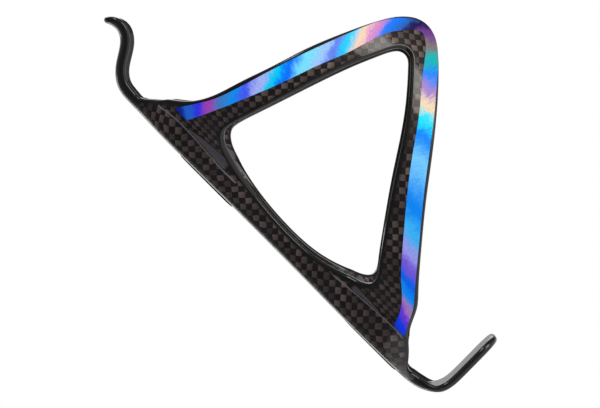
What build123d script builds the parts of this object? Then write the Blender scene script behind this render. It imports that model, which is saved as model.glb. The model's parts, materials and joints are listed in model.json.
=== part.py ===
from build123d import *
from math import radians, tan
import os

# Bicycle water bottle cage: a thin laminate spine with two sprung V-shaped wings that wrap round
# the bottle, a top hook that snaps into the bottle's neck groove and a foot that it stands on.
#
# Frame: +Z up along the spine, -Y forward into the bottle, X across. The origin is on the mounting
# face, half-way between the two bolt slots. Side outlines are (forward, up) points from there.

os.makedirs("parts", exist_ok=True)

# ---- driving dimensions, mm ----
wall = 1.6                  # laminate thickness
bottle_radius = 36.5        # inside of the wings at rest, just under a 73.5 mm bottle's radius
bottle_gap = 6.2            # mounting face to the back of the bottle
bolt_pitch = 64.0
slot_width = 5.5            # clearance for an M5 bolt
slot_travel = 6.0           # how far the cage can be set up or down on its bolts
pad_height = 0.4            # the two mounting pads stand this proud of the spine's back
pad_width = 14.0
pad_length = 20.0
body_gap = 0.3              # between pieces that flex against each other
film_thickness = 0.15       # decorative foil on the wings
film_gap = 0.02             # adhesive line under the foil

bottle_axis_forward = bottle_gap + bottle_radius
wing_outer_radius = bottle_radius + wall

# spine section: flat back, large corners, nearly straight flanks
section_depth = 13.0
corner_radius = 6.5
flank_lean = section_depth * tan(radians(8))

# spine seen from the front: (up, half width of the back's sharp corners), narrow at both necks
hook_joint_up = 60.5
foot_joint_up = -46.0
spine_widths = [
    (hook_joint_up, 9.6),
    (52.0, 14.4),
    (38.0, 15.3),
    (10.0, 12.8),
    (-16.0, 16.0),
    (-30.0, 17.2),
    (-38.0, 16.0),
    (-42.0, 13.6),
    (foot_joint_up, 9.8),
]

# spine seen from the side: how far its rims stand in front of the mounting face
rim_outline = [
    (3.3, hook_joint_up + 1),
    (3.6, 59.9),
    (5.8, 56.8),
    (9.2, 53.0),
    (9.5, 44.0),
    (9.6, 33.5),
    (8.5, 25.0),
    (7.1, 15.0),
    (6.6, 5.6),
    (7.1, -3.0),
    (8.9, -12.0),
    (10.6, -21.0),
    (10.6, -29.0),
    (10.0, -36.4),
    (7.2, -40.2),
    (4.6, -43.0),
    (3.2, foot_joint_up),
    (3.0, foot_joint_up - 1),
]

# wing seen from the side: outer edge from the upper root round the apex to the lower root
root_forward = 7.0
wing_outline = [
    (root_forward, 56.3),
    (9.5, 53.7),
    (13.1, 50.2),
    (18.3, 46.9),
    (26.2, 44.1),
    (35.6, 40.8),
    (45.2, 37.7),
    (55.2, 33.7),
    (64.8, 29.2),
    (70.3, 25.8),
    (73.2, 21.6),
    (73.5, 17.6),
    (71.6, 13.4),
    (66.7, 8.4),
    (59.4, 1.8),
    (49.8, -6.0),
    (39.7, -13.6),
    (30.1, -21.6),
    (20.6, -30.1),
    (17.4, -32.9),
    (14.0, -34.7),
    (10.7, -36.6),
    (root_forward, -38.8),
]
window_outline = [
    (root_forward, 24.0),
    (10.5, 33.3),
    (12.2, 36.2),
    (14.2, 37.6),
    (17.2, 37.4),
    (22.4, 35.8),
    (31.1, 33.0),
    (39.7, 30.1),
    (46.7, 27.7),
    (53.5, 25.1),
    (58.8, 22.8),
    (62.2, 21.1),
    (64.1, 19.2),
    (64.2, 17.0),
    (62.6, 14.9),
    (58.1, 10.7),
    (51.6, 5.5),
    (44.2, 0.4),
    (36.7, -4.4),
    (29.5, -9.3),
    (22.4, -14.4),
    (17.6, -18.0),
    (15.2, -19.5),
    (12.9, -19.4),
    (11.2, -17.6),
    (9.7, -13.8),
    (root_forward, -6.0),
]

# foil: a band just inside the wing's outer edge, with both ends cut straight at the wing's roots
stripe_end_forward = 8.5
stripe_outer = [
    (stripe_end_forward, 51.7),
    (13.4, 48.2),
    (18.2, 45.2),
    (26.2, 43.0),
    (35.7, 39.9),
    (45.2, 36.7),
    (55.3, 32.8),
    (64.7, 28.7),
    (69.6, 25.0),
    (72.1, 20.9),
    (72.5, 17.6),
    (70.9, 13.8),
    (66.0, 8.5),
    (58.8, 2.4),
    (49.3, -5.2),
    (39.3, -13.0),
    (29.8, -21.2),
    (20.3, -29.6),
    (17.0, -31.9),
    (13.2, -33.8),
    (stripe_end_forward, -35.6),
]
stripe_inner = [
    (stripe_end_forward, -31.4),
    (13.0, -30.6),
    (16.5, -28.6),
    (20.8, -23.8),
    (25.7, -19.1),
    (35.4, -10.6),
    (45.0, -3.0),
    (54.6, 4.0),
    (64.4, 12.2),
    (69.3, 16.6),
    (70.3, 19.1),
    (68.6, 21.4),
    (64.7, 24.6),
    (54.6, 28.3),
    (45.0, 32.0),
    (35.4, 35.5),
    (25.7, 39.0),
    (15.8, 43.1),
    (stripe_end_forward, 47.2),
]

# hook and foot seen from the side: the back of the strip, then its rims from the tip back
neck_width = 19.0
neck_corner_radius = 2.4
hook_back = [
    (pad_height, hook_joint_up + body_gap),
    (0.5, 63.5),
    (1.1, 67.0),
    (2.9, 70.4),
    (5.8, 72.9),
    (9.0, 74.9),
    (11.2, 76.8),
    (12.2, 79.0),
    (12.0, 81.0),
    (11.0, 83.6),
]
hook_rims = [
    (12.2, 83.8),
    (14.2, 81.6),
    (15.2, 79.2),
    (14.9, 76.8),
    (13.0, 74.2),
    (10.0, 71.8),
    (6.8, 69.5),
    (4.4, 66.6),
    (3.5, 63.5),
    (3.4, hook_joint_up + body_gap),
]
hook_hollow_top = 77.0
foot_length = 26.3
foot_thickness = 2.2
foot_bottom_up = -56.4
foot_tip_radius = 6.0
foot_back = [
    (9.0, foot_bottom_up),
    (5.6, -55.4),
    (3.1, -53.3),
    (1.2, -50.0),
    (pad_height, foot_joint_up),
]
foot_rims = [
    (3.1, foot_joint_up),
    (4.6, -49.7),
    (6.4, -52.5),
    (9.4, foot_bottom_up + foot_thickness),
]


def side_points(points):
    return [Vector(0, -forward, up) for forward, up in points]


def side_curve(points):
    """A smooth curve as several edges, because a face's exact volume is read edge by edge."""
    whole = Spline(*side_points(points))
    count = len(points) - 1
    return [whole.trim(i / count, (i + 1) / count) for i in range(count)]


def side_line(*points):
    return [Polyline(*side_points(points))]


def prism(edges, low_x, high_x):
    """The solid between low_x and high_x whose side view is the closed outline of edge lists."""
    outline = [edge for run in edges for edge in run]
    face = make_face(outline).moved(Location((low_x, 0, 0)))
    return extrude(face, amount=high_x - low_x, dir=(1, 0, 0))


def bottle_shell(inner_radius, outer_radius):
    """A tall tube on the bottle's axis."""
    height = 2 * (hook_joint_up - foot_joint_up)
    tube = Cylinder(outer_radius, height) - Cylinder(inner_radius, height)
    return Pos(0, -bottle_axis_forward, 0) * tube


def mirrored(solid):
    return mirror(solid, about=Plane.YZ)


# ---- spine ----
def section_corners(half_back, back, depth):
    return [
        (-half_back - flank_lean, -depth),
        (-half_back, back),
        (half_back, back),
        (half_back + flank_lean, -depth),
    ]


def round_corners(face, half_back, back, radius):
    """Rounds the two corners of a section that lie on the given back line."""
    corners = [
        v for v in face.vertices()
        if abs(v.Y - back) < 0.01 and abs(abs(v.X) - half_back) < 0.01
    ]
    return fillet(corners, radius)


def channel_face(up, half_back):
    """The spine's hollow cross-section at one height."""
    back = -pad_height
    outer = section_corners(half_back, back, section_depth)
    inner = section_corners(half_back - wall, back - wall, section_depth)
    face = make_face(Polyline(*outer, *reversed(inner), close=True))
    face = round_corners(face, half_back, back, corner_radius)
    face = round_corners(face, half_back - wall, back - wall, corner_radius - wall)
    return (Plane.XY.offset(up) * face).face()


def envelope_face(up, half_back):
    """The same section filled in and grown by the gap that the wings keep from it."""
    back = body_gap - pad_height
    half_back = half_back + body_gap
    outer = section_corners(half_back, back, section_depth)
    face = make_face(Polyline(*outer, close=True))
    face = round_corners(face, half_back, back, corner_radius + body_gap)
    return (Plane.XY.offset(up) * face).face()


def bolt_slot(up):
    """The cut for one bolt, long enough for the cage to be set up or down."""
    profile = Plane.XZ * Pos(0, up) * SlotOverall(slot_width + slot_travel, slot_width, rotation=90)
    return extrude(profile, amount=section_depth, both=True)


def make_spine():
    channel = loft([channel_face(up, half) for up, half in spine_widths])
    behind = -2.0
    top, bottom = rim_outline[0][1], rim_outline[-1][1]
    frame = side_line(rim_outline[-1], (behind, bottom), (behind, top), rim_outline[0])
    rims = prism([side_curve(rim_outline), frame], -2 * neck_width, 2 * neck_width)
    return (channel & rims) - bolt_slot(bolt_pitch / 2) - bolt_slot(-bolt_pitch / 2)


def make_pad(up):
    outline = Plane.XZ * Pos(0, up) * RectangleRounded(pad_width, pad_length, 4)
    return extrude(outline, amount=pad_height) - bolt_slot(up)


# ---- wings and foil, made on the -X side ----
def closed_at_root(points):
    return [side_curve(points), side_line(points[-1], points[0])]


def make_wing(envelope):
    far_x = -2 * bottle_radius
    profile = prism(closed_at_root(wing_outline), far_x, 0)
    window = prism(closed_at_root(window_outline), far_x, 0)
    shell = bottle_shell(bottle_radius, wing_outer_radius)
    return (shell & (profile - window)) - envelope


def make_stripe(envelope):
    edges = [
        side_curve(stripe_outer),
        side_line(stripe_outer[-1], stripe_inner[0]),
        side_curve(stripe_inner),
        side_line(stripe_inner[-1], stripe_outer[0]),
    ]
    inner_radius = wing_outer_radius + film_gap
    film = bottle_shell(inner_radius, inner_radius + film_thickness)
    return (film & prism(edges, -2 * bottle_radius, 0)) - envelope


# ---- hook and foot ----
def strip_outline(back, rims):
    return [
        side_curve(back),
        side_line(back[-1], rims[0]),
        side_curve(rims),
        side_line(rims[-1], back[0]),
    ]


def make_hook():
    outline = strip_outline(hook_back, hook_rims)
    strip = prism(outline, -neck_width / 2, neck_width / 2)
    hollow_width = neck_width - 2 * wall
    hollow = prism(outline, -hollow_width / 2, hollow_width / 2)
    hollow = Pos(0, -0.75 * wall, -0.6 * wall) * hollow
    below = Pos(0, 0, hook_hollow_top - section_depth) * Box(
        hollow_width, 4 * section_depth, 2 * section_depth)
    return strip - (hollow & below)


def make_foot():
    top_up = foot_bottom_up + foot_thickness
    tip = foot_length - foot_thickness / 2
    shelf_end = ThreePointArc(*side_points([
        (tip, top_up), (foot_length, top_up - foot_thickness / 2), (tip, foot_bottom_up)]))
    outline = [
        side_curve(foot_rims),
        side_line(foot_rims[-1], (tip, top_up)),
        [shelf_end],
        side_line((tip, foot_bottom_up), foot_back[0]),
        side_curve(foot_back),
        side_line(foot_back[-1], foot_rims[0]),
    ]
    strip = prism(outline, -neck_width / 2, neck_width / 2)
    plan = Pos(0, -foot_length / 2, foot_bottom_up) * Box(neck_width, foot_length, 4 * wall)
    front = [e for e in plan.edges().filter_by(Axis.Z) if e.center().Y < -foot_length / 2]
    rounded = fillet(front, foot_tip_radius)
    above = Pos(0, -foot_length / 2, foot_bottom_up + 2 * wall + section_depth) * Box(
        neck_width, foot_length, 2 * section_depth)
    return strip & (rounded + above)


def write(name, solid):
    export_step(solid, f"parts/{name}.step")


envelope = loft([envelope_face(up, half) for up, half in spine_widths])
left_wing = make_wing(envelope)
left_stripe = make_stripe(envelope)

write("spine", make_spine())
write("upper_mounting_pad", make_pad(bolt_pitch / 2))
write("lower_mounting_pad", make_pad(-bolt_pitch / 2))
write("top_hook", make_hook())
write("bottom_foot", make_foot())
write("left_wing", left_wing)
write("right_wing", mirrored(left_wing))
write("left_stripe", left_stripe)
write("right_stripe", mirrored(left_stripe))
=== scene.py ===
import json
import math

import bpy
import numpy as np
from mathutils import Matrix, Vector
from mathutils.geometry import delaunay_2d_cdt


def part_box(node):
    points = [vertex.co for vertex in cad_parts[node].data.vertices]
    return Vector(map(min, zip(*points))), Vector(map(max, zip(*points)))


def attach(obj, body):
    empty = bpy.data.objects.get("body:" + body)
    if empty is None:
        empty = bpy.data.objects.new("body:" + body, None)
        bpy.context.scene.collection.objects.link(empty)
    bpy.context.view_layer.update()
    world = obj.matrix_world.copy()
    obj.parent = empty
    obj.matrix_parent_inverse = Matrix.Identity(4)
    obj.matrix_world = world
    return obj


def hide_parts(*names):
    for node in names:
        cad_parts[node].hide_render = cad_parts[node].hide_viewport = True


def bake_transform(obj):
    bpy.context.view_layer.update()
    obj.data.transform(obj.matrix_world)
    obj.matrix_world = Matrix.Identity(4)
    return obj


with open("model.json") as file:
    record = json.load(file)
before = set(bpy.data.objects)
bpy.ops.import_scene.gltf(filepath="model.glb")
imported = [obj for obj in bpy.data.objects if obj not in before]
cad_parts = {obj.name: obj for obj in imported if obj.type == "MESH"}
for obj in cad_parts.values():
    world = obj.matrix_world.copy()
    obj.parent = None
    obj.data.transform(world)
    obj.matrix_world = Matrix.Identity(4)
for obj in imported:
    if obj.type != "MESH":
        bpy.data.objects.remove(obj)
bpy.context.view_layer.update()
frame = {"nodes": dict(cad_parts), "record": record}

# The cage's laminate is one sheet. It is laid out flat as (w, t): w is the distance round the
# cross-section from the middle of the spine, and t is the distance along the spine. surface() folds
# it up into the channel spine, the coves at the wings' roots and the wings on the bottle's cylinder.
# Everything is in millimetres until a mesh is made.
MM = 0.001
record = frame["record"]
mounts = {m["name"]: m for m in record["mounts"]}


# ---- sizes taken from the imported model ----
def box_mm(node):
    low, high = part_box(node)
    return np.array(low) / MM, np.array(high) / MM


bottle_forward = -mounts["bottle_seat"]["pos_m"][1] / MM
wing_outer_radius = box_mm("right_wing")[1][0]
pad_low, pad_high = box_mm("upper_mounting_pad")
pad_height = pad_high[1] - pad_low[1]
hook_low, hook_high = box_mm("top_hook")
hook_joint, hook_top = hook_low[2], hook_high[2]
foot_joint = box_mm("spine")[0][2]
foot_low, _ = box_mm("bottom_foot")
bolt_pitch = mounts["bolt_slots"]["dims"]["spacing_y_mm"]
slot_half_width = mounts["bolt_slots"]["dims"]["hole_r_mm"]
slot_half_length = mounts["bolt_slots"]["dims"]["slot_length_mm"] / 2

# ---- laminate ----
sheet_half = 0.75           # half the laminate's thickness
rim_half = 0.9              # half its thickness at the moulded bead along every free edge
foot_half = 1.1             # half its thickness in the foot's shelf
bead_width = 1.6            # how far the bead takes to fade into the sheet, on its inner side only
mid_depth = sheet_half      # the outer face follows the spine's back
wing_radius = wing_outer_radius - mid_depth
crease_height = 0.10        # raised line where each wing is laid up against the spine's flank
crease_width = 0.28
flank_heading = math.radians(82)
corner_radius = 5.7
corner_setback = corner_radius * math.tan(flank_heading / 2)

# spine seen from the front: (up, half width of the back's sharp corners)
spine_widths = [
    (-80.0, 17.5),
    (-66.0, 17.0),
    (-57.0, 14.0),
    (foot_joint, 9.8),
    (-42.0, 13.6),
    (-38.0, 16.0),
    (-30.0, 17.2),
    (-16.0, 16.0),
    (10.0, 12.8),
    (38.0, 15.3),
    (52.0, 14.4),
    (hook_joint, 9.6),
    (72.0, 9.4),
    (90.0, 10.5),
]
# radius of the cove where a wing leaves the spine's flank, by height
cove_radii = [
    (-60.0, 2.0),
    (-36.0, 1.8),
    (-24.0, 2.4),
    (0.0, 3.2),
    (28.0, 4.3),
    (44.0, 3.9),
    (54.0, 3.0),
    (80.0, 2.5),
]

# the strip's back in the side view, from the foot's tip up to the hook's tip, as (forward, up)
strip_back = [
    (-foot_low[1], foot_low[2] + 0.15),
    (18.0, foot_low[2] + 0.05),
    (13.0, foot_low[2]),
    (10.6, foot_low[2] + 0.02),
    (8.3, foot_low[2] + 0.2),
    (5.6, -55.4),
    (3.1, -53.3),
    (1.2, -50.0),
    (0.4, foot_joint),
    (pad_height, -42.0),
    (pad_height, -30.0),
    (pad_height, -10.0),
    (pad_height, 10.0),
    (pad_height, 30.0),
    (pad_height, 50.0),
    (pad_height, 60.8),
    (0.4, 63.5),
    (0.9, 67.0),
    (2.9, 70.4),
    (5.8, 72.9),
    (9.0, 74.9),
    (11.2, 76.8),
    (12.2, 79.0),
    (12.0, 81.0),
    (11.0, hook_top - 0.6),
]

# the free edge seen from the side, from the hook's neck round the wing to the foot's neck
free_edge = [
    (3.3, hook_joint + 1.2),
    (4.1, hook_joint - 0.4),
    (5.3, 59.2),
    (7.3, 57.0),
    (9.7, 53.9),
    (13.1, 50.2),
    (18.3, 46.9),
    (26.2, 44.1),
    (35.6, 40.8),
    (45.2, 37.7),
    (55.2, 33.7),
    (64.8, 29.2),
    (70.1, 25.6),
    (72.8, 21.4),
    (73.0, 17.6),
    (71.2, 13.6),
    (66.7, 8.4),
    (49.8, -6.0),
    (39.7, -13.6),
    (30.1, -21.6),
    (20.6, -30.1),
    (17.4, -32.9),
    (14.0, -34.7),
    (10.7, -36.6),
    (7.9, -39.7),
    (5.5, -42.2),
    (3.7, -44.0),
    (2.9, foot_joint),
]
window_edge = [
    (6.6, 5.6),
    (7.3, 17.4),
    (9.1, 28.5),
    (10.5, 33.3),
    (12.2, 36.2),
    (14.2, 37.6),
    (17.2, 37.4),
    (22.4, 35.8),
    (39.7, 30.1),
    (53.5, 25.1),
    (58.8, 22.8),
    (62.2, 21.1),
    (64.1, 19.2),
    (64.2, 17.0),
    (62.6, 14.9),
    (51.6, 5.5),
    (36.7, -4.4),
    (22.4, -14.4),
    (17.6, -18.0),
    (15.2, -19.5),
    (12.9, -19.4),
    (11.2, -17.6),
    (9.7, -13.8),
    (7.1, -3.0),
]
stripe_outer = [
    (9.5, 51.9),
    (13.9, 48.9),
    (18.6, 46.0),
    (26.2, 43.0),
    (45.2, 36.7),
    (55.3, 32.8),
    (64.7, 28.7),
    (69.6, 25.0),
    (72.1, 20.9),
    (72.5, 17.6),
    (70.9, 13.8),
    (66.0, 8.5),
    (49.3, -5.2),
    (39.3, -13.0),
    (29.8, -21.2),
    (20.3, -29.6),
    (17.0, -32.4),
    (13.2, -34.5),
    (9.5, -36.5),
]
stripe_inner = [
    (9.0, -32.7),
    (13.0, -31.1),
    (16.5, -28.6),
    (20.8, -23.8),
    (25.7, -19.1),
    (45.0, -3.0),
    (54.6, 4.0),
    (64.4, 12.2),
    (69.3, 16.6),
    (70.3, 19.1),
    (68.6, 21.4),
    (64.7, 24.6),
    (54.6, 28.3),
    (45.0, 32.0),
    (35.4, 35.5),
    (25.9, 39.4),
    (16.2, 43.8),
    (9.3, 47.3),
]


# ---- curves ----
def natural_spline(points, closed=False):
    """A function of distance that runs smoothly through the points, and its total length."""
    p = np.array(points, float)
    if closed:
        p = np.vstack([p, p[:1]])
    gaps = np.linalg.norm(np.diff(p, axis=0), axis=1)
    s = np.r_[0, np.cumsum(gaps)]
    n = len(p)
    a, b = np.zeros((n, n)), np.zeros((n, p.shape[1]))
    for i in range(1, n - 1):
        a[i, i - 1:i + 2] = gaps[i - 1], 2 * (gaps[i - 1] + gaps[i]), gaps[i]
        b[i] = 6 * ((p[i + 1] - p[i]) / gaps[i] - (p[i] - p[i - 1]) / gaps[i - 1])
    if closed:  # same slope and bend where the ends meet
        a[0, 0], a[0, -1] = 1, -1
        a[-1, 0], a[-1, 1] = 2 * gaps[0], gaps[0]
        a[-1, -1], a[-1, -2] = 2 * gaps[-1], gaps[-1]
        b[-1] = 6 * ((p[1] - p[0]) / gaps[0] - (p[-1] - p[-2]) / gaps[-1])
    else:
        a[0, 0] = a[-1, -1] = 1
    m = np.linalg.solve(a, b)

    def at(x):
        x = np.asarray(x, float)
        k = np.clip(np.searchsorted(s, x, side="right") - 1, 0, n - 2)
        h = gaps[k][..., None]
        u = ((x - s[k]) / gaps[k])[..., None]
        bend = ((1 - u) ** 3 - (1 - u)) * m[k] + (u ** 3 - u) * m[k + 1]
        return (1 - u) * p[k] + u * p[k + 1] + h * h / 6 * bend

    return at, s[-1]


def sample(points, step, closed=False):
    """Points about step apart along a smooth curve through the given ones."""
    at, length = natural_spline(points, closed)
    count = int(round(length / step))
    fine = at(np.linspace(0, length, count * 8 + 1))
    s = np.r_[0, np.cumsum(np.linalg.norm(np.diff(fine, axis=0), axis=1))]
    even = np.linspace(0, s[-1], count + 1)
    out = np.column_stack([np.interp(even, s, fine[:, 0]), np.interp(even, s, fine[:, 1])])
    return out[:-1] if closed else out


def station_values(stations, t):
    """Smooth values between (t, value) stations."""
    at, length = natural_spline(stations)
    line = at(np.linspace(0, length, 600))
    return np.interp(t, line[:, 0], line[:, 1])


def smooth_step(x):
    x = np.clip(x, 0, 1)
    return x * x * (3 - 2 * x)


# ---- folding the flat sheet up ----
path_points = sample(strip_back, 0.25)
path_points[:, 1] = np.maximum(path_points[:, 1], foot_low[2])
path_steps = np.r_[0, np.cumsum(np.linalg.norm(np.diff(path_points, axis=0), axis=1))]
level = int(np.argmin(np.abs(path_points[:, 1]) + np.abs(path_points[:, 0] - pad_height) * 0.1))
path_t = path_steps - path_steps[level] + path_points[level, 1]
path_heading = np.gradient(path_points, path_t, axis=0)
t_low, t_high = path_t[0], path_t[-1]


def section_facts(t):
    """Where the flat back ends, and the flank, cove and wing angle that follow it, at each t."""
    half = station_values(spine_widths, t) - mid_depth
    cove = station_values(cove_radii, t)
    flat = half - corner_setback
    along = np.array([math.cos(flank_heading), math.sin(flank_heading)])
    out = np.array([along[1], -along[0]])
    start = np.stack([half, np.full_like(half, mid_depth)], -1) + corner_setback * along
    to_start = start + cove[..., None] * out - np.array([0, bottle_forward - pad_height])
    b = to_start @ along
    reach = wing_radius + cove
    flank = np.maximum(-b - np.sqrt(b * b - (to_start ** 2).sum(-1) + reach ** 2), 0)
    centre = to_start + flank[..., None] * along
    wing_angle = np.arctan2(centre[..., 0], -centre[..., 1])
    return flat, flank, cove, wing_angle


def section(w, t):
    """(across, depth) of the sheet's middle at distance w round the cross-section."""
    flat, flank, cove, wing_angle = section_facts(t)
    corner_arc = corner_radius * flank_heading
    cove_arc = cove * (flank_heading - wing_angle)
    a = np.clip(w - flat, 0, corner_arc) / corner_radius
    b = np.clip(w - flat - corner_arc, 0, flank)
    c = np.clip(w - flat - corner_arc - flank, 0, cove_arc) / cove
    d = np.maximum(w - flat - corner_arc - flank - cove_arc, 0) / wing_radius
    f = flank_heading
    x = np.minimum(w, flat) + corner_radius * np.sin(a) + b * math.cos(f)
    h = mid_depth + corner_radius * (1 - np.cos(a)) + b * math.sin(f)
    x += cove * (math.sin(f) - np.sin(f - c)) + wing_radius * (np.sin(wing_angle + d) - np.sin(wing_angle))
    h += cove * (np.cos(f - c) - math.cos(f)) + wing_radius * (np.cos(wing_angle) - np.cos(wing_angle + d))
    return x, h


def root_line(t):
    """w where the flank ends and the wing's cove begins."""
    flat, flank, _, _ = section_facts(t)
    return flat + corner_radius * flank_heading + flank


def place(w, t):
    """The sheet's middle as (x, forward, up), on the +X side."""
    x, h = section(w, t)
    back = np.stack([np.interp(t, path_t, path_points[:, i]) for i in (0, 1)], -1)
    heading = np.stack([np.interp(t, path_t, path_heading[:, i]) for i in (0, 1)], -1)
    return np.stack([x, back[..., 0] + h * heading[..., 1], back[..., 1] - h * heading[..., 0]], -1)


def surface(w, t):
    """Middle of the sheet, its outward normal, and its two directions, along w and along t."""
    step = 0.02
    middle = place(w, t)
    along_w = place(w + step, t) - place(np.maximum(w - step, 0), t)
    along_w[w < step, 1:] = 0
    along_t = place(w, t + step) - place(w, t - step)
    along_w /= np.linalg.norm(along_w, axis=-1, keepdims=True)
    along_t /= np.linalg.norm(along_t, axis=-1, keepdims=True)
    normal = np.cross(along_w, along_t)
    normal /= np.linalg.norm(normal, axis=-1, keepdims=True)
    return middle, normal, along_w, along_t


def lay_flat(side_points):
    """(w, t) of points given in the side view as (forward, up), in the straight part of the spine."""
    fine = np.arange(0, 130, 0.2)
    out = []
    for forward, up in side_points:
        _, h = section(fine, np.full_like(fine, up))
        out.append((np.interp(forward - pad_height, h, fine), up))
    return np.array(out)


# ---- outlines of the flat sheet ----
edge_step = 0.7
curve_step, strip_step = 0.35, 0.5      # spacing of the points on the curves before they are made even
strip_half = 9.1            # the hook and the foot's half width, round the section
hook_tip_half = 9.5
hook_tip_radius = 5.0
foot_tip_radius = 6.0


def quarter(centre, radius, start, count=10):
    turn = np.radians(start - np.linspace(0, 90, count))
    return np.column_stack([centre[0] + radius * np.cos(turn), centre[1] + radius * np.sin(turn)])


def resample(points, step):
    """The same polyline with its points evenly spaced."""
    s = np.r_[0, np.cumsum(np.linalg.norm(np.diff(points, axis=0), axis=1))]
    even = np.linspace(0, s[-1], int(round(s[-1] / step)) + 1)
    return np.column_stack([np.interp(even, s, points[:, 0]), np.interp(even, s, points[:, 1])])


wing_edge_flat = lay_flat(sample(free_edge, curve_step))
hook_edge = [(9.4, 82.5), (9.2, 80.0), (8.9, 76.0), (8.6, 72.0), (8.5, 68.0), (8.6, 65.0)]
foot_edge = [(8.6, -48.5), (9.1, -51.0), (9.2, -54.0), (9.1, -58.0)]
hook_corner = (hook_tip_half - hook_tip_radius, t_high - hook_tip_radius)
foot_corner = (strip_half - foot_tip_radius, t_low + foot_tip_radius)
outer_edge = np.vstack([
    [(0, t_high)],
    quarter(hook_corner, hook_tip_radius, 90),
    sample(hook_edge, strip_step),
    wing_edge_flat,
    sample(foot_edge, strip_step),
    quarter(foot_corner, foot_tip_radius, 0),
    [(0, t_low)],
])
outer_edge = resample(outer_edge, edge_step)
window_flat = lay_flat(sample(window_edge, curve_step, closed=True))
hole_edge = resample(np.vstack([window_flat, window_flat[:1]]), edge_step)[:-1]


def inset(points, distance, closed):
    """The polyline moved to its right-hand side, or to its left if distance is negative."""
    if closed:
        ahead, behind = np.roll(points, -1, axis=0), np.roll(points, 1, axis=0)
    else:
        ahead = np.vstack([points[1:], points[-1:]])
        behind = np.vstack([points[:1], points[:-1]])
    along = ahead - behind
    along /= np.linalg.norm(along, axis=1, keepdims=True)
    if not closed:
        along[0], along[-1] = (1, 0), (-1, 0)
    return points + distance * np.column_stack([along[:, 1], -along[:, 0]])


outer_ring = inset(outer_edge, rim_half, False)
hole_ring = inset(hole_edge, -rim_half, True)


def slot_edge(up, grow):
    """Half a bolt slot's outline, from its top end on the middle line to its bottom end."""
    radius = slot_half_width + grow
    straight = slot_half_length - slot_half_width
    turn = np.radians(np.linspace(90, 0, 9))
    top = np.column_stack([radius * np.cos(turn), up + straight + radius * np.sin(turn)])
    top[0, 0] = 0
    bottom = top[::-1] * (1, -1) + (0, 2 * up)
    sides = [(radius, up + straight * s) for s in (0.5, 0, -0.5)]
    return np.vstack([top, sides, bottom])


slot_round = 0.25           # radius of the rounding round each slot
slot_ups = (bolt_pitch / 2, -bolt_pitch / 2)
slot_edges = [slot_edge(up, 0) for up in slot_ups]
slot_rings = [slot_edge(up, slot_round) for up in slot_ups]


def nearest(points, target):
    return int(np.argmin(((points - np.array(target)) ** 2).sum(1)))


def distance_to(points, line, closed=False):
    """Distance from each point to a polyline."""
    a = line
    b = np.roll(line, -1, axis=0) if closed else line[1:]
    a = a if closed else line[:-1]
    best = np.full(len(points), 1e9)
    for p, q in zip(a, b):
        run = q - p
        u = np.clip(((points - p) @ run) / max(run @ run, 1e-12), 0, 1)
        best = np.minimum(best, np.linalg.norm(points - p - u[:, None] * run, axis=1))
    return best


def inside(points, polygon):
    x, y = points[:, 0], points[:, 1]
    result = np.zeros(len(points), bool)
    for (x0, y0), (x1, y1) in zip(polygon, np.roll(polygon, -1, axis=0)):
        if y0 != y1:
            result ^= ((y0 > y) != (y1 > y)) & (x < (x1 - x0) * (y - y0) / (y1 - y0) + x0)
    return result


# ---- the sheet's triangles ----
row_step = 0.95
rim_clear, line_clear, slot_clear = 0.3, 0.16, 0.35     # how near a free point may come to each
crowd_limit, crowd_limit_at_crease, crowd_cell = 0.4, 0.16, 0.5
SPINE, WING, HOOK, FOOT = 0, 1, 2, 3
hook_end = nearest(outer_ring, (strip_half - rim_half, hook_joint))
foot_end = nearest(outer_ring, (strip_half - rim_half, foot_joint))
outer_ring[hook_end, 1] = outer_edge[hook_end, 1] = hook_joint
outer_ring[foot_end, 1] = outer_edge[foot_end, 1] = foot_joint


def crossing(ring, low, high):
    """The ring's vertex nearest the crease between two heights."""
    away = np.abs(ring[:, 0] - root_line(ring[:, 1]))
    away[(ring[:, 1] < low) | (ring[:, 1] > high)] = 1e9
    return int(np.argmin(away))


upper_outer = crossing(outer_ring, 45, 58)
lower_outer = crossing(outer_ring, -42, -28)
upper_hole = crossing(hole_ring, 25, 40)
lower_hole = crossing(hole_ring, -20, -5)


def crease_between(top, bottom):
    """The crease from one ring vertex down to another."""
    t = np.arange(top[1] - 0.7, bottom[1] + 0.5, -0.75)
    return np.vstack([[top], np.column_stack([root_line(t), t]), [bottom]])


creases = [
    crease_between(outer_ring[upper_outer], hole_ring[upper_hole]),
    crease_between(hole_ring[lower_hole], outer_ring[lower_outer]),
]
crease_line = np.vstack(creases)[::-1]


def crease_at(t):
    """w of the crease, going by its snapped ends."""
    within = (t > crease_line[0, 1]) & (t < crease_line[-1, 1])
    return np.where(within, np.interp(t, crease_line[:, 1], crease_line[:, 0]), root_line(t))


def seam_row(ring_vertex):
    """Points from the middle line out to a ring vertex, at its height."""
    w = np.linspace(0, ring_vertex[0], 11)
    return np.column_stack([w, np.full_like(w, ring_vertex[1])])


def row_of_points(t):
    """Where the sheet is sampled at one height: finer where the section bends tightly."""
    flat, flank, cove, wing_angle = (float(v) for v in section_facts(np.array(t)))
    corner = corner_radius * flank_heading
    bend = cove * (flank_heading - wing_angle)
    root = flat + corner + flank
    near = root + np.array([-0.7, -0.4, -0.2, 0.2, 0.4, 0.7])
    parts = [
        np.linspace(0, flat, max(2, round(flat / 1.2)), endpoint=False),
        np.linspace(flat, flat + corner, 9, endpoint=False),
        np.linspace(flat + corner, root, max(2, round(flank)), endpoint=False)[:-1],
        near,
        np.linspace(root, root + bend, 8)[2:],
        root + bend + np.arange(0.9, 110, 0.95),
    ]
    w = np.concatenate(parts)
    return np.column_stack([w, np.full_like(w, t)])


def bead_rings():
    """Rings beside every rim so that the bead's fade is smooth."""
    out = []
    for further in (0.45, 0.95, 1.6):
        out.append(inset(outer_edge, rim_half + further, False)[1:-1])
        out.append(inset(hole_edge, -rim_half - further, True))
    return np.vstack(out)


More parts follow.
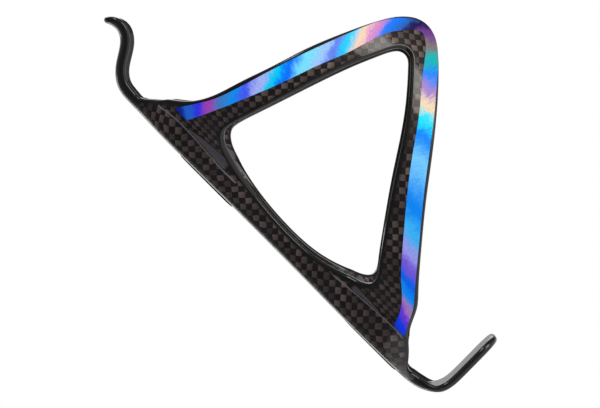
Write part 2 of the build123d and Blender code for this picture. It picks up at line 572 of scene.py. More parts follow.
outer_polygon = np.vstack([outer_ring, [(-5, t_low), (-5, t_high)]])


def lay_out():
    """(flat points, triangles as rows of indices, index of each ring's first vertex)."""
    chains = [outer_ring, hole_ring, *slot_rings]
    starts = np.cumsum([0] + [len(c) for c in chains])
    points = np.vstack(chains)
    edges = []
    for chain, start in zip(chains, starts):
        edges += [(start + i, start + i + 1) for i in range(len(chain) - 1)]
    edges.append((starts[1] + len(hole_ring) - 1, starts[1]))
    lines = [
        (seam_row(outer_ring[hook_end]), None, hook_end),
        (seam_row(outer_ring[foot_end]), None, foot_end),
        (creases[0], upper_outer, starts[1] + upper_hole),
        (creases[1], starts[1] + lower_hole, lower_outer),
    ]
    seam_points = []
    for line, first, last in lines:
        own = line[(0 if first is None else 1):-1]
        base = len(points)
        points = np.vstack([points, own])
        chain = ([] if first is None else [first]) + list(range(base, base + len(own))) + [last]
        edges += list(zip(chain[:-1], chain[1:]))
        seam_points.append(line)
    rows = np.vstack([row_of_points(t) for t in np.arange(t_low + 1.2, t_high - 1.0, row_step)])
    free = np.vstack([bead_rings(), rows])
    free = free[inside(free, outer_polygon) & ~inside(free, hole_ring)]
    to_rim = np.minimum(distance_to(free, outer_ring), distance_to(free, hole_ring, True))
    free = free[to_rim > rim_clear]
    for line in seam_points:
        free = free[distance_to(free, line) > line_clear]
    for ring in slot_rings:
        free = free[(distance_to(free, ring) > slot_clear) & ~inside(free, ring)]
    # drop a point that crowds an earlier one
    cell = {}
    kept = []
    for p in free:
        key = (int(p[0] // crowd_cell), int(p[1] // crowd_cell))
        around = [(key[0] + i, key[1] + j) for i in (-1, 0, 1) for j in (-1, 0, 1)]
        near = [q for k in around for q in cell.get(k, ())]
        tight = crowd_limit_at_crease if abs(p[0] - root_line(p[1])) < 1.0 else crowd_limit
        if all(abs(p[0] - q[0]) + abs(p[1] - q[1]) > tight for q in near):
            cell.setdefault(key, []).append(p)
            kept.append(p)
    points = np.vstack([points, kept])
    made = delaunay_2d_cdt([Vector(p) for p in points], edges, [], 0, 1e-5)
    flat_points = np.array([tuple(v) for v in made[0]])
    triangles = np.array([f for f in made[2] if len(f) == 3])
    renamed = np.full(len(points), -1)
    for new, old in enumerate(made[3]):
        for o in old:
            renamed[o] = new
    centres = flat_points[triangles].mean(1)
    keep = inside(centres, outer_polygon) & ~inside(centres, hole_ring)
    for ring in slot_rings:
        keep &= ~inside(centres, ring)
    rings = [renamed[s:s + len(c)] for s, c in zip(starts, chains)]
    return flat_points, triangles[keep], centres[keep], rings


flat_points, triangles, centres, rings = lay_out()
fold = (crease_at(centres[:, 1]) < centres[:, 0])
part_of = np.where(fold, WING, SPINE)
part_of[centres[:, 1] < foot_joint] = FOOT
part_of[centres[:, 1] > hook_joint] = HOOK
ring_of = {}
for number, (ring, edge_points) in enumerate(zip(rings, [outer_edge, hole_edge, *slot_edges])):
    for place_in_ring, vertex in enumerate(ring):
        ring_of[int(vertex)] = (number, place_in_ring, edge_points[place_in_ring], len(ring))

edge_distance = np.minimum(distance_to(flat_points, outer_edge), distance_to(flat_points, hole_edge, True))
middle, normal, along_w, along_t = surface(flat_points[:, 0], flat_points[:, 1])


def thickness(distance, t):
    """Half the sheet's thickness, by the distance from its free edge."""
    bead = 1 - smooth_step((distance - rim_half) / bead_width)
    shelf = smooth_step((-52 - t) / 6)
    sheet = sheet_half + (foot_half - sheet_half) * shelf
    return np.maximum(sheet, sheet_half + (rim_half - sheet_half) * bead)


half = thickness(edge_distance, flat_points[:, 1])


def raised(w, t):
    """How far the crease stands out of the sheet's outer face."""
    beside = np.exp(-((w - crease_at(t)) / crease_width) ** 2)
    ends = smooth_step((edge_distance - rim_half) / 1.2)
    return crease_height * beside * ends


rise = raised(flat_points[:, 0], flat_points[:, 1])
rise[np.abs(flat_points[:, 0] - crease_at(flat_points[:, 1])) > 1.5] = 0


# ---- normals ----
def corner_normals(positions):
    """Area-weighted normals of the sheet's triangles at its points, on the +X side."""
    a, b, c = (positions[triangles[:, i]] for i in range(3))
    face = np.cross(b - a, c - a)
    total = np.zeros_like(positions)
    for i in range(3):
        np.add.at(total, triangles[:, i], face)
    total[flat_points[:, 0] < 1e-6, 0] = 0
    size = np.linalg.norm(total, axis=1, keepdims=True)
    return total / np.maximum(size, 1e-12)


outer_face = middle + (sheet_half + rise)[:, None] * normal
inner_face = middle + (sheet_half - 2 * half)[:, None] * normal
on_rim = np.zeros(len(flat_points), bool)
on_rim[list(ring_of)] = True
outer_normal = np.where((on_rim | (rise < 1e-4))[:, None], normal, corner_normals(outer_face))
inner_normal = np.where(on_rim[:, None], -normal, -corner_normals(inner_face))


# ---- pieces of the sheet ----
rim_turns = np.radians(np.linspace(90, -90, 9))[1:-1]
corner_turns = np.radians([60, 30, 0, 0, -30, -60])


def rim_profile(vertex):
    """Points and normals round the sheet's edge at a ring vertex, between its two faces."""
    number, _, edge_point, _ = ring_of[vertex]
    away = edge_point - flat_points[vertex]
    away = away / np.linalg.norm(away)
    out = away[0] * along_w[vertex] + away[1] * along_t[vertex]
    out /= np.linalg.norm(out)
    up, r = normal[vertex], half[vertex]
    rows = []
    if number < 2:
        centre = middle[vertex] + (sheet_half - r) * up
        for turn in rim_turns:
            c, s = math.cos(turn), math.sin(turn)
            rows.append((centre + rim_half * c * out + r * s * up, c * out + s * up, away * rim_half * c))
    else:
        for k, turn in enumerate(corner_turns):
            c, s = math.cos(turn), math.sin(turn)
            height = sheet_half - slot_round if k < 3 else sheet_half - 2 * r + slot_round
            centre = middle[vertex] + height * up
            rows.append((centre + slot_round * (c * out + s * up), c * out + s * up, away * slot_round * c))
    return rows


def weave_shown(w, t, distance):
    """1 where the weave shows through, 0 where the surface is plain, -1 in a grey band of painted
    reflection beside each wing's root.
    """
    past_root = w - crease_at(t)
    at_rim = smooth_step((distance - 1.0) / 0.7)
    on_strip = smooth_step((69.0 - t) / 6) * smooth_step((t + 47.0) / 5)
    # painted reflection: a grey band just past the crease, one zone high and one low on the spine, where
    # the cove would mirror a lamp behind the cage
    reflection_width = np.where(t > 0, 1 + (47 - t) * 0.3, 3.5 + (t + 20) * 0.3)
    cove_reflection = smooth_step(past_root / 0.5) * smooth_step((reflection_width - past_root) / 1.2)
    upper = smooth_step((t - 28) / 4) * smooth_step((48 - t) / 3)
    lower = smooth_step((t + 31) / 4) * smooth_step((-15 - t) / 3)
    return at_rim * on_strip * (1 - 2 * cove_reflection * (upper + lower))


# above 1 along the raised line at each wing's root, where the material paints a light grey highlight
shown_weave = weave_shown(flat_points[:, 0], flat_points[:, 1], edge_distance)
shown_weave = np.where(rise > crease_height / 3, 1 + rise / crease_height, shown_weave)
uv_scale = 0.01


class Shell:
    """Gathers one closed mesh, in millimetres as (x, forward, up)."""

    def __init__(self):
        self.at, self.normal, self.uv, self.weave = [], [], [], []
        self.faces, self.plain = [], []

    def add(self, at, normal, uv, weave, side):
        self.at.append((at[0] * side, at[1], at[2]))
        self.normal.append((normal[0] * side, normal[1], normal[2]))
        self.uv.append((uv[0] * side * uv_scale, uv[1] * uv_scale))
        self.weave.append(weave)
        return len(self.at) - 1

    def face(self, loop, side, plain=False):
        self.faces.append(tuple(reversed(loop)) if side > 0 else tuple(loop))
        self.plain.append(plain)

    def make(self, name):
        mesh = bpy.data.meshes.new(name)
        at = np.array(self.at) * (1, -1, 1) * MM
        mesh.from_pydata(at.tolist(), [], self.faces)
        mesh.update()
        loop_vertices = np.zeros(len(mesh.loops), int)
        mesh.loops.foreach_get("vertex_index", loop_vertices)
        layer = mesh.uv_layers.new(name="sheet")
        layer.data.foreach_set("uv", np.array(self.uv)[loop_vertices].astype(np.float32).ravel())
        attribute = mesh.attributes.new("weave", "FLOAT", "POINT")
        attribute.data.foreach_set("value", np.array(self.weave, np.float32))
        normals = (np.array(self.normal) * (1, -1, 1))[loop_vertices]
        counts = [len(f) for f in self.faces]
        owner = np.repeat(np.arange(len(counts)), counts)
        flat = np.array(self.plain)[owner]
        face_normals = np.array([p.normal[:] for p in mesh.polygons])
        normals[flat] = face_normals[owner[flat]]
        mesh.polygons.foreach_set("use_smooth", [True] * len(counts))
        mesh.normals_split_custom_set(normals.tolist())
        made = bpy.data.objects.new(name, mesh)
        bpy.context.scene.collection.objects.link(made)
        return made


def sheet_piece(name, part, sides):
    """One closed piece of the laminate, from the triangles of one part."""
    shell = Shell()
    own = triangles[part_of == part]
    edges = {}
    for a, b, c in own.tolist():
        for pair in ((a, b), (b, c), (c, a)):
            edges[pair] = True
    border = [pair for pair in edges if (pair[1], pair[0]) not in edges]
    rims, walls = [], []
    for a, b in border:
        if flat_points[a, 0] < 1e-6 and flat_points[b, 0] < 1e-6:
            continue
        together = a in ring_of and b in ring_of and ring_of[a][0] == ring_of[b][0]
        if together:
            gap = abs(ring_of[a][1] - ring_of[b][1])
            together = gap == 1 or (ring_of[a][0] == 1 and gap == ring_of[a][3] - 1)
        (rims if together else walls).append((a, b))
    rim_vertices = sorted({v for pair in rims for v in pair})
    shared = {}
    for side in sides:
        outer, inner, mids = {}, {}, {}

        def vertex(table, key, *facts):
            if flat_points[key[0], 0] < 1e-6:
                if (key, id_of[id(table)]) not in shared:
                    shared[(key, id_of[id(table)])] = shell.add(*facts, side)
                table[key] = shared[(key, id_of[id(table)])]
            else:
                table[key] = shell.add(*facts, side)

        id_of = {id(outer): "o", id(inner): "i", id(mids): "m"}
        for v in sorted({int(i) for i in own.ravel()}):
            uv, shown = flat_points[v], shown_weave[v]
            vertex(outer, (v,), outer_face[v], outer_normal[v], uv, shown)
            vertex(inner, (v,), inner_face[v], inner_normal[v], uv, shown)
        for v in rim_vertices:
            for k, (at, out, away) in enumerate(rim_profile(v)):
                vertex(mids, (v, k), at, out, flat_points[v] + away, 0.0)

        def chain(v):
            count = len(rim_turns) if ring_of[v][0] < 2 else len(corner_turns)
            return [outer[(v,)]] + [mids[(v, k)] for k in range(count)] + [inner[(v,)]]

        for a, b, c in own.tolist():
            shell.face((outer[(a,)], outer[(b,)], outer[(c,)]), side)
            shell.face((inner[(c,)], inner[(b,)], inner[(a,)]), side)
        for a, b in walls:
            shell.face((inner[(a,)], inner[(b,)], outer[(b,)], outer[(a,)]), side, True)
        for a, b in rims:
            ca, cb = chain(a), chain(b)
            for k in range(len(ca) - 1):
                shell.face((ca[k + 1], cb[k + 1], cb[k], ca[k]), side)
        starts, ends = {a for a, b in rims}, {b for a, b in rims}
        for v in rim_vertices:
            if flat_points[v, 0] < 1e-6 or (v in starts and v in ends):
                continue
            loop = chain(v)
            shell.face(loop if v in ends else loop[::-1], side, True)
    return shell.make(name)


spine_shell = sheet_piece("spine_shell", SPINE, (1, -1))
foot_shell = sheet_piece("foot_shell", FOOT, (1, -1))
hook_shell = sheet_piece("hook_shell", HOOK, (1, -1))
right_wing_shell = sheet_piece("right_wing_shell", WING, (1,))
left_wing_shell = sheet_piece("left_wing_shell", WING, (-1,))


# ---- foil stripes ----
foil_clear = 0.02           # adhesive under the foil
foil_thickness = 0.10
foil_edge_share = 0.55      # the foil thins to this share of its thickness along its edges
foil_columns, foil_rows = 7, 250
foil_uv_width = 4.5


def even_rows(points, count):
    line = sample(points, 0.4)
    s = np.r_[0, np.cumsum(np.linalg.norm(np.diff(line, axis=0), axis=1))]
    even = np.linspace(0, s[-1], count)
    return np.column_stack([np.interp(even, s, line[:, 0]), np.interp(even, s, line[:, 1])])


def foil_stripe(name, side):
    count = foil_rows
    outer_side = lay_flat(even_rows(stripe_outer, count))
    inner_side = lay_flat(even_rows(stripe_inner[::-1], count))
    centre = (outer_side + inner_side) / 2
    along = np.r_[0, np.cumsum(np.linalg.norm(np.diff(centre, axis=0), axis=1))]
    shell = Shell()
    grid = {}
    for i in range(count):
        for j in range(foil_columns):
            u = j / (foil_columns - 1)
            at = outer_side[i] * (1 - u) + inner_side[i] * u
            point, up, _, _ = (v[0] for v in surface(at[:1], at[1:]))
            at_edge = 0 in (j, foil_columns - 1 - j, i, count - 1 - i)
            top_height = foil_clear + foil_thickness * (foil_edge_share if at_edge else 1)
            for k, height in ((0, foil_clear), (1, top_height)):
                lift = sheet_half + height
                uv = (along[i] * side, u * foil_uv_width)
                grid[i, j, k] = shell.add(point + lift * up, up if k else -up, uv, 1.0, side)
    for i in range(count - 1):
        for j in range(foil_columns - 1):
            top = [grid[i, j, 1], grid[i + 1, j, 1], grid[i + 1, j + 1, 1], grid[i, j + 1, 1]]
            low = [grid[i, j, 0], grid[i, j + 1, 0], grid[i + 1, j + 1, 0], grid[i + 1, j, 0]]
            shell.face(top, -side)
            shell.face(low, -side)
    border = [(i, 0) for i in range(count)]
    border += [(count - 1, j) for j in range(1, foil_columns)]
    border += [(i, foil_columns - 1) for i in range(count - 2, -1, -1)]
    border += [(0, j) for j in range(foil_columns - 2, 0, -1)]
    for a, b in zip(border, border[1:] + border[:1]):
        shell.face([grid[(*a, 0)], grid[(*b, 0)], grid[(*b, 1)], grid[(*a, 1)]], -side, True)
    return shell.make(name), along[-1]


right_foil, foil_length = foil_stripe("right_foil", 1)
left_foil, _ = foil_stripe("left_foil", -1)


# ---- node graphs ----
class Graph:
    """Short spellings for the nodes of one material."""

    def __init__(self, name):
        self.material = bpy.data.materials.new(name)
        self.material.use_nodes = True
        self.tree = self.material.node_tree
        self.shader = self.tree.nodes["Principled BSDF"]

    def node(self, kind, **settings):
        made = self.tree.nodes.new(kind)
        for key, value in settings.items():
            setattr(made, key, value)
        return made

    def feed(self, socket, value):
        if isinstance(value, bpy.types.NodeSocket):
            self.tree.links.new(value, socket)
        elif value is not None:
            socket.default_value = value

    def math(self, operation, *values, clamp=False):
        made = self.node("ShaderNodeMath", operation=operation, use_clamp=clamp)
        for socket, value in zip(made.inputs, values):
            self.feed(socket, value)
        return made.outputs[0]

    def add(self, a, b):
        return self.math("ADD", a, b)

    def times(self, a, b):
        return self.math("MULTIPLY", a, b)

    def ramp_step(self, value, low, high):
        made = self.node("ShaderNodeMapRange", interpolation_type="SMOOTHSTEP")
        for name, v in (("Value", value), ("From Min", low), ("From Max", high)):
            self.feed(made.inputs[name], v)
        return made.outputs["Result"]

    def mix(self, factor, a, b):
        """Blend of two colours."""
        made = self.node("ShaderNodeMix", data_type="RGBA")
        self.feed(made.inputs[0], factor)
        self.feed(made.inputs[6], a)
        self.feed(made.inputs[7], b)
        return made.outputs[2]

    def mix_value(self, factor, a, b):
        made = self.node("ShaderNodeMix", data_type="FLOAT")
        self.feed(made.inputs[0], factor)
        self.feed(made.inputs[2], a)
        self.feed(made.inputs[3], b)
        return made.outputs[0]

    def noise(self, vector, scale, detail=2.0, roughness=0.5):
        made = self.node("ShaderNodeTexNoise")
        self.feed(made.inputs["Vector"], vector)
        self.feed(made.inputs["Scale"], scale)
        self.feed(made.inputs["Detail"], detail)
        self.feed(made.inputs["Roughness"], roughness)
        return made.outputs["Fac"]

    def vector(self, x, y, z=0.0):
        made = self.node("ShaderNodeCombineXYZ")
        for socket, value in zip(made.inputs, (x, y, z)):
            self.feed(socket, value)
        return made.outputs[0]

    def sheet(self):
        """(w, t) on the flat sheet, in millimetres."""
        uv = self.node("ShaderNodeUVMap", uv_map="sheet")
        parts = self.node("ShaderNodeSeparateXYZ")
        self.feed(parts.inputs[0], uv.outputs[0])
        return [self.times(parts.outputs[i], 1 / uv_scale) for i in (0, 1)]

    def place_mm(self):
        """Where the point is on the object, in millimetres."""
        where = self.node("ShaderNodeNewGeometry")
        scale = self.node("ShaderNodeVectorMath", operation="SCALE")
        self.feed(scale.inputs[0], where.outputs["Position"])
        scale.inputs["Scale"].default_value = 1 / MM
        return scale.outputs[0]

    def bump(self, height, strength, distance_mm, under=None):
        made = self.node("ShaderNodeBump")
        made.inputs["Strength"].default_value = strength
        made.inputs["Distance"].default_value = distance_mm * MM
        self.feed(made.inputs["Height"], height)
        self.feed(made.inputs["Normal"], under)
        return made.outputs[0]

    def set(self, **values):
        for key, value in values.items():
            self.feed(self.shader.inputs[key.replace("_", " ")], value)


def grey(value):
    return (value, value, value, 1)


def srgb(r, g, b):
    """Linear colour of a 0-255 display colour."""
    linear = [((v / 255 + 0.055) / 1.055) ** 2.4 if v > 10 else v / 255 / 12.92 for v in (r, g, b)]
    return (*linear, 1)


weave_pitch = 1.75          # one tow's width
# both tows are the same fibre: the light one is a painted sheen and the dark one painted shade, standing in
# for how each fibre direction catches the lamps
painted_shaded_tow = (0.0095, 0.0055, 0.0100, 1)
painted_lit_tow = (0.135, 0.098, 0.086, 1)
# grey of the painted reflection of a lamp in each wing's cove
painted_reflection_grey = (0.34, 0.32, 0.37, 1)
# light grey of the painted highlight along the raised crease
crease_highlight_grey = (0.36, 0.33, 0.32, 1)


def fine_scratches(g, w, t):
    """A few hairline marks in the clear coat, 0 to 1."""
    marks = g.noise(g.vector(g.times(w, 0.35), g.times(t, 2.6)), 1.0, 3.0, 0.6)
    return g.ramp_step(marks, 0.62, 0.80)


def woven_material():
    g = Graph("woven_carbon")
    w, t = g.sheet()
    wobble = g.noise(g.vector(w, t), 0.16, 1.0)
    wobble_t = g.noise(g.vector(g.add(w, 40.0), t), 0.16, 1.0)
    # the cloth lies at 45 degrees to the spine
    bias_u = g.times(g.add(w, t), math.sqrt(0.5))
    bias_v = g.times(g.math("SUBTRACT", t, w), math.sqrt(0.5))
    u = g.math("DIVIDE", g.add(bias_u, g.times(g.add(wobble, -0.5), 1.1)), weave_pitch)
    v = g.math("DIVIDE", g.add(bias_v, g.times(g.add(wobble_t, -0.5), 1.1)), weave_pitch)
    u, v = g.add(u, 0.5), g.add(v, 0.5)
    fu, fv = g.math("FRACT", u), g.math("FRACT", v)
    cells = g.add(g.math("FLOOR", u), g.math("FLOOR", v))
    warp = g.math("GREATER_THAN", g.math("FRACT", g.times(g.add(cells, 0.001), 0.5)), 0.25)
    across_u = g.math("SINE", g.times(fu, math.pi))
    across_v = g.math("SINE", g.times(fv, math.pi))
    warp_height = g.times(g.math("POWER", across_u, 0.4), g.add(g.times(across_v, 0.35), 0.65))
    weft_height = g.times(g.math("POWER", across_v, 0.4), g.add(g.times(across_u, 0.35), 0.65))
    height = g.mix_value(warp, weft_height, warp_height)
    fibres_up = g.noise(g.vector(g.times(bias_u, 9.0), g.times(bias_v, 0.9)), 1.0, 2.0, 0.6)
    fibres_round = g.noise(g.vector(g.times(bias_u, 0.9), g.times(bias_v, 9.0)), 1.0, 2.0, 0.6)
    fibres = g.mix_value(warp, fibres_round, fibres_up)
    scatter = g.node("ShaderNodeTexWhiteNoise", noise_dimensions="2D")
    g.feed(scatter.inputs["Vector"], g.vector(g.math("FLOOR", u), g.math("FLOOR", v)))
    # painted shade along each tow: each cell runs from darker at one end to lighter at the other, as the
    # tow's curve would catch the light; the per-cell white noise is the tow's own random tone
    painted_tow_slope_shade = g.mix_value(warp, fu, fv)
    tow = g.times(g.add(g.times(scatter.outputs["Value"], 0.9), 0.1), g.add(g.times(painted_tow_slope_shade, 0.9), 0.6))
    cloud = g.noise(g.vector(w, t), 0.05, 2.0)
    # one direction of tow takes the painted lit colour, the other the painted shaded colour
    painted_tow_light = g.mix(warp, painted_lit_tow, painted_shaded_tow)
    streak = g.add(g.times(fibres, 1.1), 0.45)
    level_of = g.times(g.times(streak, g.add(g.times(tow, 1.3), 0.35)), g.add(g.times(cloud, 0.8), 0.6))
    # painted shade: the colour is darkened where the tows dip under their neighbours
    gap = g.ramp_step(height, 0.22, 0.48)
    level_of = g.times(level_of, g.add(g.times(gap, 0.7), 0.3))
    toned = g.node("ShaderNodeVectorMath", operation="SCALE")
    g.feed(toned.inputs[0], painted_tow_light)
    g.feed(toned.inputs["Scale"], level_of)
    finish_and_painted_light = g.node("ShaderNodeAttribute", attribute_name="weave").outputs["Fac"]
    shown = g.math("MAXIMUM", g.math("MINIMUM", finish_and_painted_light, 1.0), 0.0)
    # attribute values below 0 mark the grey painted reflection in the coves
    painted_reflection = g.ramp_step(g.times(finish_and_painted_light, -1.0), 0.05, 0.9)
    # painted highlight: attribute values above 1 along the raised crease turn the colour light grey
    crease = g.ramp_step(finish_and_painted_light, 1.25, 1.9)
    speckle = g.noise(g.vector(w, t), 7.0, 3.0, 0.7)
    plain = g.mix(speckle, grey(0.0022), grey(0.0075))
    colour = g.mix(shown, plain, toned.outputs[0])
    colour = g.mix(painted_reflection, colour, g.mix(speckle, painted_reflection_grey, grey(0.020)))
    colour = g.mix(crease, colour, crease_highlight_grey)
    lift = g.times(g.add(g.times(height, 1.0), g.times(fibres, 0.16)), shown)
    weave_bump = g.bump(lift, 0.55, 0.07)
    ripple = g.noise(g.vector(w, t), 0.5, 2.0, 0.5)
    coat_bump = g.bump(g.add(g.times(ripple, 0.8), g.times(lift, 0.10)), 0.16, 0.12)
    scratch = fine_scratches(g, w, t)
    g.set(
        Base_Color=colour,
        Roughness=g.mix_value(warp, g.add(g.times(fibres, 0.2), 0.30), g.add(g.times(fibres, 0.2), 0.38)),
        Normal=weave_bump,
        Coat_Weight=1.0,
        Coat_Roughness=g.add(g.times(scratch, 0.16), g.add(g.times(cloud, 0.05), 0.035)),
        Coat_IOR=1.5,
        Coat_Normal=coat_bump,
    )
    g.shader.inputs["Specular IOR Level"].default_value = 0.35
    return g.material


def plain_material():
    g = Graph("plain_carbon")
    w, t = g.sheet()
    chopped = g.noise(g.vector(g.times(w, 0.8), g.times(t, 1.6)), 1.0, 4.0, 0.65)
    pits = g.ramp_step(g.noise(g.vector(w, t), 3.5, 2.0, 0.6), 0.66, 0.76)
    cloud = g.noise(g.vector(w, t), 0.09, 2.0)
    colour = g.mix(chopped, grey(0.0020), (0.0110, 0.0095, 0.0100, 1))
    ripple = g.noise(g.vector(w, t), 0.42, 2.0, 0.5)
    scratch = fine_scratches(g, w, t)
    g.set(
        Base_Color=colour,
        Roughness=g.add(g.times(chopped, 0.25), 0.30),
        Normal=g.bump(chopped, 0.10, 0.03),
        Coat_Weight=1.0,
        Coat_Roughness=g.add(g.times(scratch, 0.18), g.add(g.times(cloud, 0.06), 0.04)),
        Coat_IOR=1.5,
        Coat_Normal=g.bump(g.add(g.times(ripple, 0.9), g.times(pits, -0.06)), 0.10, 0.12),
    )
    g.shader.inputs["Specular IOR Level"].default_value = 0.4
    return g.material


def pad_material():
    g = Graph("mounting_pad")
    where = g.place_mm()
    grain = g.noise(where, 3.2, 4.0, 0.7)
    cloud = g.noise(where, 0.22, 2.0)
    rubbed = g.ramp_step(g.noise(where, 0.6, 3.0, 0.6), 0.55, 0.72)
    g.set(
        Base_Color=g.mix(g.add(g.times(grain, 0.6), g.times(cloud, 0.4)), grey(0.012), grey(0.034)),
        Roughness=g.add(g.times(rubbed, -0.16), g.add(g.times(grain, 0.15), 0.52)),
        Normal=g.bump(grain, 0.5, 0.08),
    )
    return g.material


# the foil's colours along each stripe, from the upper root round the apex to the lower root
foil_colours = [
    (0.000, 10, 45, 155),
    (0.024, 45, 115, 215),
    (0.050, 60, 70, 240),
    (0.076, 175, 85, 195),
    (0.100, 85, 140, 205),
    (0.128, 5, 160, 248),
    (0.150, 85, 105, 245),
    (0.175, 175, 188, 246),
    (0.202, 10, 205, 246),
    (0.226, 10, 125, 248),
    (0.255, 130, 222, 248),
    (0.285, 165, 200, 246),
    (0.303, 110, 140, 232),
    (0.326, 8, 205, 250),
    (0.352, 235, 205, 185),
    (0.376, 205, 140, 200),
    (0.402, 15, 130, 240),
    (0.430, 50, 110, 190),
    (0.452, 40, 30, 90),
    (0.478, 120, 75, 150),
    (0.502, 135, 125, 125),
    (0.526, 20, 180, 180),
    (0.552, 30, 140, 240),
    (0.578, 165, 135, 200),
    (0.604, 232, 210, 180),
    (0.628, 25, 220, 248),
    (0.652, 5, 145, 242),
    (0.690, 125, 200, 248),
    (0.760, 15, 145, 240),
    (0.800, 75, 185, 245),
    (0.832, 165, 165, 236),
    (0.856, 130, 105, 222),
    (0.882, 5, 115, 240),
    (0.906, 15, 155, 245),
    (0.930, 175, 135, 200),
    (0.952, 120, 72, 222),
    (0.978, 5, 75, 238),
    (1.000, 25, 70, 180),
]
foil_brightness = 0.86
# foil_painted_glow is a painted glow: the foil emits its own colour though it is no lamp
foil_gamma, foil_painted_glow, foil_specular = 1.2, 0.80, 0.25


def colour_band(g, value, stops):
    made = g.node("ShaderNodeValToRGB")
    made.color_ramp.interpolation = "EASE"
    elements = made.color_ramp.elements
    elements[0].position, elements[0].color = stops[0][0], srgb(*stops[0][1:])
    elements[-1].position, elements[-1].color = stops[-1][0], srgb(*stops[-1][1:])
    for where, *colour in stops[1:-1]:
        elements.new(where).color = srgb(*colour)
    g.feed(made.inputs[0], value)
    return made.outputs[0]


def foil_material():
    g = Graph("holographic_foil")
    along, across = g.sheet()
    slant = g.times(g.add(across, -foil_uv_width / 2), 0.8)
    drift = g.times(g.add(g.noise(g.vector(along, across), 0.30, 2.0), -0.5), 5.0)
    feather = g.times(g.add(g.noise(g.vector(along, g.times(across, 0.25)), 1.4, 3.0, 0.7), -0.5), 4.5)
    where = g.math("DIVIDE", g.add(g.add(along, slant), g.add(drift, feather)), foil_length)
    half_way = 0.49
    first = [(min(p / half_way, 1), *c) for p, *c in foil_colours if p < half_way]
    second = [((p - half_way) / (1 - half_way), *c) for p, *c in foil_colours if p > half_way]
    lower_run = g.math("DIVIDE", g.add(where, -half_way), 1 - half_way)
    upper_band = colour_band(g, g.math("DIVIDE", where, half_way), first)
    lower_band = colour_band(g, lower_run, second)
    colour = g.mix(g.ramp_step(where, half_way - 0.012, half_way + 0.012), upper_band, lower_band)
    grain = g.noise(g.vector(along, across), 2.6, 3.0, 0.75)
    flake = g.noise(g.vector(g.times(along, 0.5), g.times(across, 2.4)), 2.2, 2.0, 0.6)
    bright = g.add(g.times(grain, 1.1), g.add(g.times(flake, 0.6), 0.15))
    deep = g.node("ShaderNodeGamma")
    g.feed(deep.inputs["Color"], colour)
    deep.inputs["Gamma"].default_value = foil_gamma
    toned = g.node("ShaderNodeVectorMath", operation="SCALE")
    g.feed(toned.inputs[0], deep.outputs[0])
    g.feed(toned.inputs["Scale"], g.times(bright, foil_brightness))
    worn = g.ramp_step(g.noise(g.vector(along, across), 0.9, 4.0, 0.7), 0.66, 0.80)
    g.set(
        Base_Color=toned.outputs[0],
        Roughness=g.add(g.times(grain, 0.18), g.add(g.times(worn, 0.15), 0.36)),
        Normal=g.bump(g.add(grain, g.times(flake, 0.5)), 0.35, 0.03),
        Coat_Weight=0.12,
        Coat_Roughness=0.2,
        # painted glow: the foil's colour is also emitted, lighting it beyond what the lamps give
        Emission_Color=toned.outputs[0],
        Emission_Strength=foil_painted_glow,
    )
    g.shader.inputs["Specular IOR Level"].default_value = foil_specular
    return g.material


def finish_with(pieces, material):
    for piece in pieces:
        piece.data.materials.clear()
        piece.data.materials.append(material)


wings = (left_wing_shell, right_wing_shell)
foils = (left_foil, right_foil)
pads = (frame["nodes"]["upper_mounting_pad"], frame["nodes"]["lower_mounting_pad"])
woven = woven_material()
finish_with((spine_shell, *wings), woven)
finish_with((hook_shell, foot_shell), plain_material())
finish_with(foils, foil_material())
finish_with(pads, pad_material())
for pad in pads:
    edge = pad.modifiers.new("edge", "BEVEL")
    edge.width = 0.12 * MM
    edge.segments = 2
    edge.limit_method = "ANGLE"

# ---- how the pieces move ----
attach(spine_shell, "cage")
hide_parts("spine")
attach(foot_shell, "cage")
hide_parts("bottom_foot")
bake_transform(hook_shell)
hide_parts("top_hook")
for piece, film, side in zip(wings, foils, ("left", "right")):
    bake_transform(piece)
    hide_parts(side + "_wing")
    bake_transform(film)
    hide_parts(side + "_stripe")

# ---- studio ----
scene = bpy.context.scene
scene.view_settings.view_transform = "Standard"
scene.render.film_transparent = False

world = bpy.data.worlds.new("studio")
scene.world = world
world.use_nodes = True
wt = world.node_tree
background = wt.nodes["Background"]
background.inputs["Strength"].default_value = 0.09
to_camera = wt.nodes.new("ShaderNodeBackground")
to_camera.inputs["Color"].default_value = (1, 1, 1, 1)
background.inputs["Color"].default_value = (0.95, 0.96, 1.0, 1)
chooser = wt.nodes.new("ShaderNodeMixShader")
rays = wt.nodes.new("ShaderNodeLightPath")
wt.links.new(rays.outputs["Is Camera Ray"], chooser.inputs[0])
wt.links.new(background.outputs[0], chooser.inputs[1])
wt.links.new(to_camera.outputs[0], chooser.inputs[2])
wt.links.new(chooser.outputs[0], wt.nodes["World Output"].inputs["Surface"])

target = Vector((0, -0.030, 0.010))


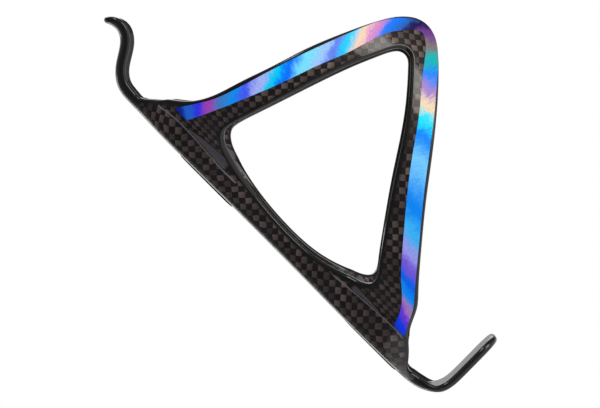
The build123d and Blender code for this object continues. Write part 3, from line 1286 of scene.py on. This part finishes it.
def softbox(name, direction, distance, size, power, tint=(1, 1, 1)):
    """An area light aimed at the object, that the camera doesn't see."""
    data = bpy.data.lights.new(name, "AREA")
    data.shape = "RECTANGLE"
    data.size, data.size_y = size
    data.energy = power
    data.color = tint
    lamp = bpy.data.objects.new(name, data)
    scene.collection.objects.link(lamp)
    way = Vector(direction).normalized()
    lamp.location = target + way * distance
    lamp.rotation_mode = "QUATERNION"
    lamp.rotation_quaternion = way.to_track_quat("Z", "Y")
    lamp.visible_camera = False
    return lamp


softbox("forward_softbox", (-0.64, -0.77, 0.0), 1.2, (0.62, 1.1), 4.5, (1.0, 0.96, 0.90))
softbox("forward_core", (-0.60, -0.80, 0.0), 1.15, (0.34, 0.8), 1.5, (1.0, 0.96, 0.90))
softbox("back_softbox", (0.80, 0.60, 0.05), 1.2, (0.12, 1.1), 1.0)
softbox("top_softbox", (-0.35, -0.2, 0.92), 1.2, (0.3, 0.3), 2.5)
softbox("rear_panel", (1.0, 0.0, 0.0), 1.2, (1.6, 1.6), 2.5)
softbox("far_softbox", (0.8, -0.3, 0.5), 1.4, (1.0, 0.8), 4)

# ---- floor ----
floor_mesh = bpy.data.meshes.new("floor")
floor_radius, floor_up, floor_sides = 0.6, -0.2, 128
turns = np.linspace(0, 2 * math.pi, floor_sides, endpoint=False)
floor_rim = [(floor_radius * math.cos(a), floor_radius * math.sin(a), floor_up) for a in turns]
floor_mesh.from_pydata(floor_rim, [], [range(floor_sides)])
floor = bpy.data.objects.new("floor", floor_mesh)
scene.collection.objects.link(floor)
g = Graph("floor")
g.set(
    Base_Color=g.mix(g.noise(g.place_mm(), 0.02, 2.0), grey(0.80), grey(0.86)),
    Roughness=0.8,
    Emission_Color=grey(1.0),
    Emission_Strength=0.20,
)
floor_mesh.materials.append(g.material)

# ---- camera ----
camera_data = bpy.data.cameras.new("camera")
camera = bpy.data.objects.new("camera", camera_data)
scene.collection.objects.link(camera)
scene.camera = camera
camera_data.sensor_width = 36
camera_data.lens = 205.2
camera_data.clip_start, camera_data.clip_end = 0.05, 20
camera.location = (-0.95, -0.050, 0.017)
aim = Vector((0, -0.0138, 0.0091))
backward = (camera.location - aim).normalized()
picture_up = Vector((0, -1, 1)).normalized()
right = picture_up.cross(backward).normalized()
picture_up = backward.cross(right).normalized()
camera.rotation_mode = "QUATERNION"
camera.rotation_quaternion = Matrix((right, picture_up, backward)).transposed().to_quaternion()
